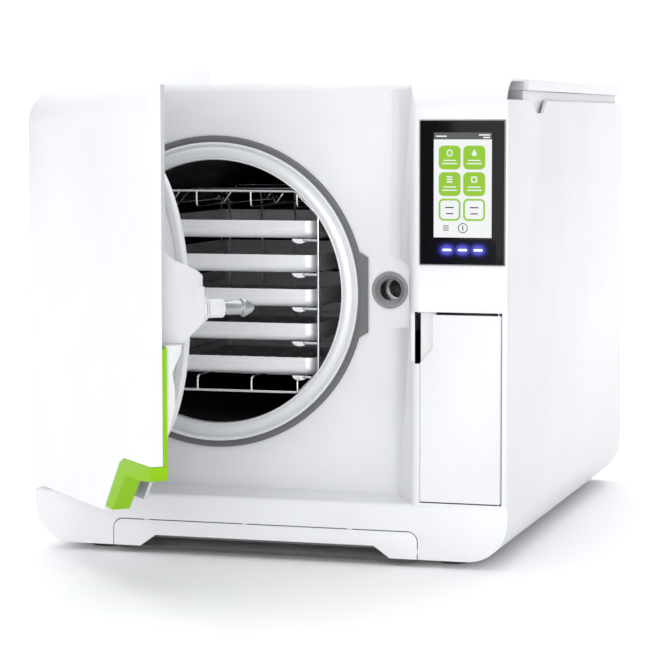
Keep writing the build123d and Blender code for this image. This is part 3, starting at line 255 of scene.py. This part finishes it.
FELT = speckled("felt", (0.42, 0.40, 0.35), (0.6, 0.58, 0.52), 0.9, 0.0, 500.0, 0.5)
RING = turned_metal("brushed_ring", (0.74, 0.75, 0.765), 0.38, ring_centre, metallic=0.35, vary=0.05)
PLATE = turned_metal("brushed_plate", (0.80, 0.805, 0.82), 0.45, ring_centre, metallic=0.15, vary=0.04)
LOCK_RING = turned_metal("lock_bushing_metal", (0.23, 0.232, 0.238), 0.38, lock_centre, metallic=0.2,
                         vary=0.06)
STEEL = drawn_metal("turned_steel", (0.42, 0.43, 0.44), 0.24, (1, 1, 1), 700.0)
SHEET = drawn_metal("sheet_steel", (0.52, 0.53, 0.54), 0.38, (1, 0.05, 1))
HEATER = drawn_metal("heater_alloy", (0.32, 0.29, 0.25), 0.45, (1, 0.1, 1))
CHROME = drawn_metal("chromed_wire", (0.80, 0.81, 0.82), 0.14, (1, 0.2, 1), 300.0, vary=0.05)
ALUMINIUM = drawn_metal("satin_aluminium", (0.93, 0.935, 0.95), 0.42, (0.08, 1, 1), 260.0, metallic=0.45,
                        vary=0.03)
BRASS = drawn_metal("turned_brass", (0.62, 0.44, 0.18), 0.28, (1, 1, 1))
COPPER = drawn_metal("copper_tube", (0.66, 0.31, 0.18), 0.3, (1, 1, 0.1))
# chamber's steel wall coloured near black: painted shade of the deep chamber, with scattered lighter
# specks
CAVITY_SHADE = speckled("chamber_wall_painted_shade", (0.004, 0.004, 0.005), (0.10, 0.10, 0.11), 0.42, 0.5, 520.0, 0.58,
                  (1, 0.5, 1))
BLACK_GLASS = moulded("black_glass", (0.002, 0.002, 0.0025), 0.05, 60.0, 0.0, vary=0.2)
low_specular(BLACK_GLASS, 0.08)
SCREEN = lit("screen_white", (0.92, 0.94, 0.95), 0.95)
SCREEN_GREEN = lit("screen_green", (0.31, 0.62, 0.035), 0.95)
SCREEN_GREY = lit("screen_grey", (0.13, 0.135, 0.14), 0.8)
SCREEN_DARK = lit("screen_dark", (0.05, 0.05, 0.055), 0.3)
LAMP = lit("lamp_core", (0.9, 0.93, 1.0), 1.6)

LOOKS = {
    WHITE: "base_tray front_panel left_side_panel right_side_panel tank_lid filter_drawer service_door"
           " grip_back tank_deck",
    DOOR_WHITE: "door_cover",
    LIGHT: "door_liner service_bay",
    TEXTURED: "lock_block",
    GREEN: "door_handle",
    RUBBER_AND_SHADE: "levelling_feet",
    TRIM: "chamber_trim",
    SILICONE: "door_seal",
    GREY: "dust_filter bacteria_filter clean_tank_cap used_tank_cap",
    LOCK_RING: "lock_bushing",
    BLACK: "lock_motor mains_inlet power_rocker fan_rotor vacuum_pump",
    RED: "reset_button",
    BLACK_GLASS: "display_glass",
    SCREEN_GREY: "lcd_panel",
    BOARD: "display_board control_board",
    RING: "chamber_ring",
    CAVITY_SHADE: "chamber_vessel",
    PLATE: "pressure_plate",
    STEEL: "locking_pin lock_catch hinge_pins service_door_pin case_screws",
    CHROME: "rack",
    ALUMINIUM: "tray_1 tray_2 tray_3 tray_4 tray_5",
    SHEET: "rear_panel chamber_frame hinge_brackets door_hinge_frame condenser steam_generator",
    HEATER: "heater_band",
    FELT: "insulation",
    BRASS: "safety_valve water_ports drain_couplings",
    COPPER: "pipework",
    TANK: "clean_water_tank used_water_tank",
}
BODY = {node: body for body, group in frame["record"]["behaviour"]["bodies"].items() for node in group}
LOOK = {node: look for look, names in LOOKS.items() for node in names.split()}


for node, thing in frame["nodes"].items():
    thing.data.materials.clear()
    thing.data.materials.append(LOOK[node])


# ---------------------------------------------------------------- shapes
def finish_piece(name, shape, looks, body, replaced=(), smooth=True):
    """Object from a bmesh, which rides on its body and stands in for the CAD nodes it replaces."""
    mesh = bpy.data.meshes.new(name)
    shape.to_mesh(mesh)
    shape.free()
    thing = bpy.data.objects.new(name, mesh)
    bpy.context.scene.collection.objects.link(thing)
    for polygon in mesh.polygons:
        polygon.use_smooth = smooth
    for look in looks:
        mesh.materials.append(look)
    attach(thing, body)
    if replaced:
        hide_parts(*replaced)
    return thing


def soften(node, width):
    """Stand-in for a CAD node with its sharp edges rounded as the moulding's are."""
    shape = bmesh.new()
    shape.from_mesh(frame["nodes"][node].data)
    bmesh.ops.remove_doubles(shape, verts=shape.verts, dist=0.00001)
    bmesh.ops.dissolve_limit(shape, angle_limit=math.radians(1.0), verts=shape.verts, edges=shape.edges)
    thing = finish_piece(f"{node}_skin", shape, [LOOK[node]], BODY[node], [node])
    bevel = thing.modifiers.new("edge", "BEVEL")
    bevel.width = width / 1000
    bevel.segments = EDGE_STEPS
    bevel.limit_method = "ANGLE"
    bevel.angle_limit = EDGE_ANGLE
    bevel.harden_normals = True
    bevel.use_clamp_overlap = True


def rounded(x0, x1, z0, z1, radius, steps=6):
    """Corners of a rounded rectangle, seen from the front."""
    points = []
    for cx, cz, start in ((x1 - radius, z1 - radius, 0), (x0 + radius, z1 - radius, 90),
                          (x0 + radius, z0 + radius, 180), (x1 - radius, z0 + radius, 270)):
        for step in range(steps + 1):
            turn = math.radians(start + 90 * step / steps)
            points.append((cx + radius * math.cos(turn), cz + radius * math.sin(turn)))
    return points


def sheet(shape, points, y, index):
    """Flat face from (x, z) points at depth y, facing the front."""
    face = shape.faces.new([shape.verts.new(row(x, y, z)) for x, z in points])
    face.material_index = index


def oblong(shape, x0, x1, z0, z1, y, index):
    """Flat rectangle at depth y, facing the front."""
    sheet(shape, [(x0, z0), (x1, z0), (x1, z1), (x0, z1)], y, index)


def strip(shape, outer, inner, y, index):
    """Flat frame between two outlines with the same number of points."""
    a = [shape.verts.new(row(x, y, z)) for x, z in outer]
    b = [shape.verts.new(row(x, y, z)) for x, z in inner]
    for i in range(len(a)):
        j = (i + 1) % len(a)
        face = shape.faces.new((a[i], a[j], b[j], b[i]))
        face.material_index = index


def wires(name, runs, radius, replaced=()):
    """Chromed wires of the rack, each a line of points, turned into one mesh."""
    curve = bpy.data.curves.new(name, "CURVE")
    curve.dimensions = "3D"
    curve.bevel_depth = radius / 1000
    curve.bevel_resolution = 3
    curve.use_fill_caps = True
    for points in runs:
        spline = curve.splines.new("POLY")
        spline.points.add(len(points) - 1)
        for target, point in zip(spline.points, points):
            target.co = (*row(*point), 1)
    drawn = bpy.data.objects.new(name + "_line", curve)
    bpy.context.scene.collection.objects.link(drawn)
    bpy.context.view_layer.update()
    mesh = bpy.data.meshes.new_from_object(drawn)
    bpy.data.objects.remove(drawn)
    shape = bmesh.new()
    shape.from_mesh(mesh)
    bpy.data.meshes.remove(mesh)
    finish_piece(name, shape, [CHROME], "rack", replaced)


def bend(points, radius, steps=5):
    """Polyline with its inner corners rounded to a bend radius."""
    made = [Vector(points[0])]
    for before, corner, after in zip(points, points[1:], points[2:]):
        before, corner, after = Vector(before), Vector(corner), Vector(after)
        back, ahead = before - corner, after - corner
        half = back.angle(ahead) / 2
        reach = min(radius / math.tan(half), back.length * 0.45, ahead.length * 0.45)
        start, end = corner + back.normalized() * reach, corner + ahead.normalized() * reach
        for step in range(steps + 1):
            t = step / steps
            made.append(start * (1 - t) ** 2 + corner * 2 * t * (1 - t) + end * t ** 2)
    made.append(Vector(points[-1]))
    return made


# ---------------------------------------------------------------- casing and door with soft edges
EDGES = {
    "base_tray": 1.6,
    "front_panel": 1.2,
    "right_side_panel": 1.0,
    "left_side_panel": 1.0,
    "tank_lid": 0.8,
    "service_door": 0.7,
    "filter_drawer": 0.7,
    "door_cover": 1.4,
    "door_handle": 1.0,
    "grip_back": 1.2,
    "lock_block": 1.6,
    "pressure_plate": 0.5,
}
for node, width in EDGES.items():
    soften(node, width)


# ---------------------------------------------------------------- display
def draw_mark(shape, line, column, middle, z):
    """Programme mark of a green tile: ring, drop, bars or square."""
    if (line, column) == (0, 0):
        strip(shape, rounded(middle - 2.7, middle + 2.7, z - 3.2, z + 3.2, 2.6),
              rounded(middle - 1.6, middle + 1.6, z - 2.1, z + 2.1, 1.5), MARK_FACE, 0)
    elif (line, column) == (0, 1):
        drop = [(middle - 2.6, z - 1.4), (middle, z - 3.2), (middle + 2.6, z - 1.4), (middle, z + 3.4)]
        sheet(shape, drop, MARK_FACE, 0)
    elif (line, column) == (1, 0):
        for lift in (-2.3, 0, 2.3):
            bar = rounded(middle - 2.8, middle + 2.8, z + lift - 0.65, z + lift + 0.65, 0.6, 2)
            sheet(shape, bar, MARK_FACE, 0)
    else:
        strip(shape, rounded(middle - 2.8, middle + 2.8, z - 2.8, z + 2.8, 0.8),
              rounded(middle - 1.6, middle + 1.6, z - 1.6, z + 1.6, 0.4), MARK_FACE, 0)


def draw_tile(shape, line, column):
    """One tile of the menu: filled green with a mark, or an outline in the last line."""
    left, _, _, high = LCD
    filled = line < 2
    x0 = left + 4.6 + TILE_PITCH[0] * column
    z1 = high - 11.8 - TILE_PITCH[1] * line
    x1 = x0 + TILE
    z0 = z1 - TILE - (1.2 if filled else -0.4)
    middle = (x0 + x1) / 2
    outline = rounded(x0, x1, z0, z1, 4.6)
    if filled:
        sheet(shape, outline, PRINT_FACE, 2)
        draw_mark(shape, line, column, middle, z1 - 6.6)
        colour, words = 0, ((0.62, 0.80), (0.70, 0.95))
    else:
        strip(shape, outline, rounded(x0 + 1.7, x1 - 1.7, z0 + 1.7, z1 - 1.7, 3.0), PRINT_FACE, 2)
        colour, words = 3, ((0.40, 0.55), (0.62, 0.45))
    # lines that stand for words
    for i, (share, wide) in enumerate(words):
        z = z1 - (z1 - z0) * share - i * 1.2
        half = TILE * wide * 0.36
        oblong(shape, middle - half, middle + half, z - 0.5, z + 0.5, MARK_FACE, colour)


def make_display():
    """Lit screen with a status bar, six menu tiles and two marks at the foot."""
    left, right, low, high = LCD
    shape = bmesh.new()
    oblong(shape, left, right, low, high, GLASS_FACE, 0)
    oblong(shape, left, right, high - 6.3, high, PRINT_FACE, 1)
    for x0, x1, z in ((left + 2, left + 12, high - 3.4), (right - 12, right - 1.5, high - 2.2),
                      (right - 8, right - 1.5, high - 4.5)):
        oblong(shape, x0, x1, z - 0.6, z + 0.6, MARK_FACE, 0)
    for line in range(3):
        for column in range(2):
            draw_tile(shape, line, column)
    # menu bars and round button mark at the foot
    for lift in (-1.9, 0, 1.9):
        x, z = left + 11.4, low + 8.6 + lift
        oblong(shape, x - 2.6, x + 2.6, z - 0.4, z + 0.4, PRINT_FACE, 3)
    x, z = left + 27.2, low + 8.6
    strip(shape, rounded(x - 4.5, x + 4.5, z - 4.5, z + 4.5, 4.4),
          rounded(x - 3.8, x + 3.8, z - 3.8, z + 3.8, 3.7), PRINT_FACE, 3)
    sheet(shape, rounded(x - 0.45, x + 0.45, z - 2.4, z + 2.4, 0.4, 2), PRINT_FACE, 3)
    looks = [SCREEN, SCREEN_GREY, SCREEN_GREEN, SCREEN_DARK]
    finish_piece("display_image", shape, looks, "machine", smooth=False)


def lamp_halo():
    """Black glass that glows blue round each status lamp."""
    halo, nodes, links, shader = material("lamp_halo")
    shader.inputs["Base Color"].default_value = (0.002, 0.002, 0.004, 1)
    shader.inputs["Roughness"].default_value = 0.1
    shader.inputs["Specular IOR Level"].default_value = 0.05
    shader.inputs["Emission Strength"].default_value = 1.0
    nearest = None
    for x in LAMPS_X:
        place = coordinates(nodes, links, (1 / 0.0105, 0, 1 / 0.0078), row(x, 0, LAMPS_Z))
        length = nodes.new("ShaderNodeVectorMath")
        length.operation = "LENGTH"
        links.new(place, length.inputs[0])
        distance = length.outputs["Value"]
        if nearest is not None:
            smaller = nodes.new("ShaderNodeMath")
            smaller.operation = "MINIMUM"
            links.new(nearest, smaller.inputs[0])
            links.new(distance, smaller.inputs[1])
            distance = smaller.outputs[0]
        nearest = distance
    glow = ramp(nodes, links, nearest, [
        (0.0, (0.16, 0.17, 0.80)), (0.5, (0.075, 0.08, 0.52)), (0.72, (0.012, 0.013, 0.14)),
        (1.0, (0.0, 0.0, 0.004))])
    links.new(glow, shader.inputs["Emission Color"])
    return halo


def make_lamps():
    """Three status lamps: a white dash with a soft blue halo in the glass."""
    halo = lamp_halo()
    shape = bmesh.new()
    sheet(shape, rounded(159, 221, 281.5, 302.5, 3), GLASS_FACE, 0)
    for x in LAMPS_X:
        sheet(shape, rounded(x - 4.2, x + 4.2, LAMPS_Z - 1.0, LAMPS_Z + 1.0, 0.9, 3), PRINT_FACE, 1)
    finish_piece("status_lamps", shape, [halo, LAMP], "machine", smooth=False)


def make_glass_edge():
    """Thin grey bead where the cover glass meets the panel."""
    left, right, low, high = GLASS
    shape = bmesh.new()
    strip(shape, rounded(left, right, low, high, 1.5),
          rounded(left + 1, right - 1, low + 1, high - 1, 1.0), GLASS_FACE, 0)
    finish_piece("glass_edge", shape, [GREY], "machine", smooth=False)


# ---------------------------------------------------------------- rack, tray rests and lock details
def hoop_corners(top, shoulder, low_shoulder, foot):
    """Eight corners of a hoop as (u, w) from the chamber's axis, from the upper right round."""
    right = [top, (HOOP_SIDE, shoulder), (HOOP_SIDE, -low_shoulder), foot]
    return right + [(-u, w) for u, w in reversed(right)]


def make_rack():
    """Chromed wire rack: bent hoops, hanging and standing long loops, and runners under the trays."""
    cx, cz = CHAMBER.x, CHAMBER.z
    front_y, middle_y, back_y = HOOPS_Y
    front_hoop = hoop_corners((76, 97), 73.5, 77, (79, -97))
    rear_hoop = hoop_corners((81, 95.5), 76, 76, (81, -95.5))
    thick, thin = [], []
    for y, outline in zip(HOOPS_Y, (front_hoop, rear_hoop, rear_hoop)):
        ring = [(cx + u, y, cz + w) for u, w in outline]
        start = (cx, y, ring[0][2])
        thick.append(bend([start, *ring, start], 6))
    for x in (-148.9, -93.9, -38.6, 8.0):
        # loops that hang from the top of the hoops, and stand on the bottom ones
        hanging = [(x, front_y, 343.5), (x, front_y, 328.4), (x, 360, 328.4), (x, back_y, 341.5)]
        standing = [(x, front_y, 148.5), (x, front_y, 162.6), (x, 368, 162.6), (x, back_y, 150.5)]
        thin.append(bend(hanging, 5))
        thin.append(bend(standing, 5))
        for y in (160, 300):
            thin.append([(x - 7, y + 6, 341), (x, y, 328.4), (x + 7, y + 6, 341)])
    for x in (-113.4, -76.8, -40.0):
        down = [(x, middle_y, 341.5), (x - 22, 297, 325), (x - 32, 330, 312), (x - 32, 330, 180)]
        thin.append(bend(down, 8))
    for level in range(5):
        z = TRAY_LOW + TRAY_PITCH * level - HOOP_R
        reach = 98.0 if level else 92.0
        for side in (-1, 1):
            outer, inner = cx + side * reach, cx + side * RUNNER_U
            runner = [(outer, front_y, z), (inner, front_y, z), (inner, back_y, z), (outer, back_y, z)]
            thin.append(bend(runner, 3))
            thin.append([(inner, middle_y, z), (outer, middle_y, z)])
    floor = [(cx - 90, middle_y, 160), (cx - 74, middle_y, 151), (cx + 74, middle_y, 151),
             (cx + 90, middle_y, 160)]
    thin.append(bend(floor, 8))
    wires("rack_hoops", thick, HOOP_R, ["rack"])
    wires("rack_wires", thin, WIRE_R)


def make_tray_rests():
    """Half-round plates welded under the front of each tray's place."""
    shape = bmesh.new()
    for level in range(5):
        low = TRAY_LOW + TRAY_PITCH * level
        for middle in (9.5, -149.5):
            turns = [math.radians(t) for t in range(0, 181, 15)]
            outline = [(middle + 7.6 * math.cos(t), low - 0.4 - 4.4 * math.sin(t)) for t in turns]
            front = [shape.verts.new(row(x, 82.6, z)) for x, z in outline]
            back = [shape.verts.new(row(x, 84.2, z)) for x, z in outline]
            shape.faces.new(front)
            shape.faces.new(back[::-1])
            for i in range(len(outline)):
                j = (i + 1) % len(outline)
                shape.faces.new((front[j], front[i], back[i], back[j]))
    finish_piece("tray_rests", shape, [ALUMINIUM], "rack", smooth=False)


def lathe(shape, points, axis, steps, index, swung=False):
    """Turned form from (radius, y) points round a front-to-back axis."""
    rings = []
    for radius, y in points:
        ring = []
        for step in range(steps):
            turn = 2 * math.pi * step / steps
            x = axis.x + radius * math.cos(turn)
            z = axis.z + radius * math.sin(turn)
            ring.append(shape.verts.new(row(x, y, z, swung)))
        rings.append(ring)
    for a, b in zip(rings, rings[1:]):
        for i in range(steps):
            j = (i + 1) % steps
            face = shape.faces.new((a[i], a[j], b[j], b[i]))
            face.material_index = index


def make_locking_pin():
    """Light sleeve with a two-step collar, dark bands of painted shade in the grooves between them, steel
    neck and mushroom head.
    """
    # the dark bands at the collar's steps are painted shade of the grooves there
    sleeve, steel, groove_shade = 0, 1, 2
    forms = [
        (sleeve, [(7.9, 42), (7.9, 55), (12.7, 55), (12.8, 55.3), (12.8, 57.4), (12.4, 57.9),
                  (10.9, 58.0)]),
        (groove_shade, [(10.9, 58.0), (10.9, 58.7)]),
        (sleeve, [(10.5, 58.7), (10.5, 60.1), (10.1, 60.5), (8.5, 60.6)]),
        (groove_shade, [(8.5, 60.6), (8.5, 61.3)]),
        (sleeve, [(8.0, 61.3), (8.0, 75.4), (7.6, 76.0), (6.2, 76.2)]),
        (steel, [(6.2, 76.2), (5.9, 76.6), (5.9, 91.6), (6.1, 92.0), (7.6, 92.8), (7.8, 93.2), (7.8, 95.3),
                 (7.5, 95.9), (5.2, 100.6), (4.4, 101.9), (2.2, 104.0), (0.6, 104.45), (0.01, 104.5)]),
    ]
    shape = bmesh.new()
    for index, points in forms:
        lathe(shape, points, LOCK, 64, index, swung=True)
    looks = [LIGHT, STEEL, RUBBER_AND_SHADE]
    finish_piece("locking_pin_turned", shape, looks, "door", ["locking_pin"])


def make_flap_gap_shade():
    """Dark strip of painted shade in the gap round the filter drawer's flap, and the four small tabs that
    bridge the gap.
    """
    shape = bmesh.new()
    # dark frame behind the flap's gap: painted shade where the gap is shadowed
    outline = rounded(-152.4, 148.9, 4.0, 33.4, 10)
    inner = rounded(-149.5, 146.0, 7.0, 30.5, 7.5)
    strip(shape, outline, inner, 3.9, 0)
    finish_piece("flap_gap_shade", shape, [RUBBER_AND_SHADE], "machine", smooth=False)
    shape = bmesh.new()
    tabs = [((x, 1.6, 32.8), (5, 2.4, 3, 1)) for x in (-118, -20, 83)]
    tabs.append(((147.6, 1.6, 14), (3, 2.4, 5, 1)))
    for place, size in tabs:
        matrix = Matrix.Translation(row(*place)) @ Matrix.Diagonal(size)
        bmesh.ops.create_cube(shape, size=0.001, matrix=matrix)
    bmesh.ops.bevel(shape, geom=list(shape.edges), offset=0.0004, segments=2, affect="EDGES")
    finish_piece("flap_tabs", shape, [WHITE], "machine")


def make_ring():
    """Chamber's front ring: outer bead coloured white as a painted highlight on its rolled edge, groove,
    brushed flat and rolled inner lip.
    """
    # the outer bead takes the white moulding's colour as a painted highlight on the metal ring's edge
    bead, metal = 0, 1
    forms = [
        (bead, [(143.9, 71.5), (143.9, 61.0), (143.5, 60.5), (142.2, 60.5), (141.6, 60.9)]),
        (metal, [(141.6, 60.9), (140.2, 62.4), (139.6, 62.4), (139.0, 61.4)]),
        (metal, [(139.0, 61.4), (138.6, 60.9), (130.6, 60.7), (129.6, 61.0)]),
        (metal, [(129.6, 61.0), (129.2, 61.9), (128.6, 61.9), (128.3, 61.3), (127.6, 61.4), (127.2, 62.2),
                 (127.05, 63.5), (127.05, 71.5)]),
    ]
    shape = bmesh.new()
    for index, points in forms:
        lathe(shape, points, CHAMBER, 192, index)
    looks = [WHITE, RING]
    finish_piece("chamber_ring_turned", shape, looks, "machine", ["chamber_ring"])


def make_trim():
    """Grey rubber trim round the ring, with a raised outer lip and a wider pad beside the lock."""
    shape = bmesh.new()
    profile = [(144.0, 66), (144.0, 62.2), (144.6, 61.7), (145.4, 62.6), (146.0, 61.9), (149.0, 61.5),
               (149.9, 61.9), (149.95, 66)]
    lathe(shape, profile, CHAMBER, 192, 0)
    pad_radius, pad_edge = 149.6, 83.9
    turns = [math.radians(t) for t in range(-16, 17, 2)]
    arc = [(CHAMBER.x + pad_radius * math.cos(t), CHAMBER.z + pad_radius * math.sin(t)) for t in turns]
    outer = [(pad_edge, CHAMBER.z + (z - CHAMBER.z) * 0.98) for x, z in arc[1:-1]]
    shape.faces.new([shape.verts.new(row(x, 61.4, z)) for x, z in [*arc, *reversed(outer)]])
    finish_piece("chamber_trim_ring", shape, [TRIM], "machine", ["chamber_trim"])


make_ring()
make_trim()
make_rack()
make_tray_rests()
make_locking_pin()
make_flap_gap_shade()
make_display()
make_lamps()
make_glass_edge()


# ---------------------------------------------------------------- stage, light and camera
def make_stage():
    """Pale floor that bends up into a backdrop."""
    shape = bmesh.new()
    profile = [(STAGE_FRONT, 0.0), (STAGE_BEND, 0.0)]
    for step in range(1, 11):
        turn = step * math.pi / 20
        y = STAGE_BEND + STAGE_RADIUS * math.sin(turn)
        profile.append((y, STAGE_RADIUS - STAGE_RADIUS * math.cos(turn)))
    profile.append((STAGE_BEND + STAGE_RADIUS, STAGE_TOP))
    rows = [[shape.verts.new((x, y, z)) for x in (-STAGE_HALF, STAGE_HALF)] for y, z in profile]
    for a, b in zip(rows, rows[1:]):
        shape.faces.new((a[0], a[1], b[1], b[0]))
    mesh = bpy.data.meshes.new("studio_floor")
    shape.to_mesh(mesh)
    shape.free()
    floor = bpy.data.objects.new("studio_floor", mesh)
    bpy.context.scene.collection.objects.link(floor)
    for polygon in mesh.polygons:
        polygon.use_smooth = True
    mesh.materials.append(moulded("pale_floor", (0.95, 0.95, 0.952), 0.7, 300.0, 0.00001, vary=0.005))


def lamp(name, place, target, size, energy):
    """Soft box of a given size in metres, aimed at a point of the row frame."""
    light = bpy.data.lights.new(name, "AREA")
    light.shape = "RECTANGLE"
    light.size, light.size_y = size
    light.energy = energy
    holder = bpy.data.objects.new(name, light)
    bpy.context.scene.collection.objects.link(holder)
    holder.location = place
    holder.rotation_euler = (Vector(target) - Vector(place)).to_track_quat("-Z", "Y").to_euler()


def make_camera():
    """Long lens at eye height, in front and to the right of the machine."""
    place = row(704, -2155, 409)
    yaw, pitch, roll = (math.radians(angle) for angle in (16.67, -4.73, -0.09))
    view = bpy.data.cameras.new("photo_view")
    view.sensor_width = 36.0
    view.lens = 135.7
    view.clip_end = 50.0
    holder = bpy.data.objects.new("photo_view", view)
    bpy.context.scene.collection.objects.link(holder)
    turn = Matrix.Rotation(yaw, 4, "Z") @ Matrix.Rotation(math.pi / 2 + pitch, 4, "X")
    holder.matrix_world = Matrix.Translation(place) @ turn @ Matrix.Rotation(roll, 4, "Z")
    bpy.context.scene.camera = holder


def make_world():
    """Even, slightly cool daylight from all round."""
    world = bpy.data.worlds.new("studio")
    world.use_nodes = True
    sky = world.node_tree.nodes["Background"]
    sky.inputs["Color"].default_value = (0.96, 0.975, 1.0, 1)
    sky.inputs["Strength"].default_value = 0.71
    bpy.context.scene.world = world
    bpy.context.scene.view_settings.view_transform = "Standard"


make_stage()
lamp("key", (-1.4, -2.8, 2.2), (0, 0, 0.25), (2.4, 2.0), 4)
lamp("front_fill", (0.35, -3.0, 0.6), (-0.04, 0, 0.18), (1.8, 1.0), 26)
lamp("top", (-0.3, 0.0, 2.8), (-0.1, 0, 0), (3.5, 3.5), 38)
lamp("backdrop", (-0.6, 3.6, 3.6), (-0.9, 4.6, 0), (7.0, 3.0), 190)
make_world()
make_camera()
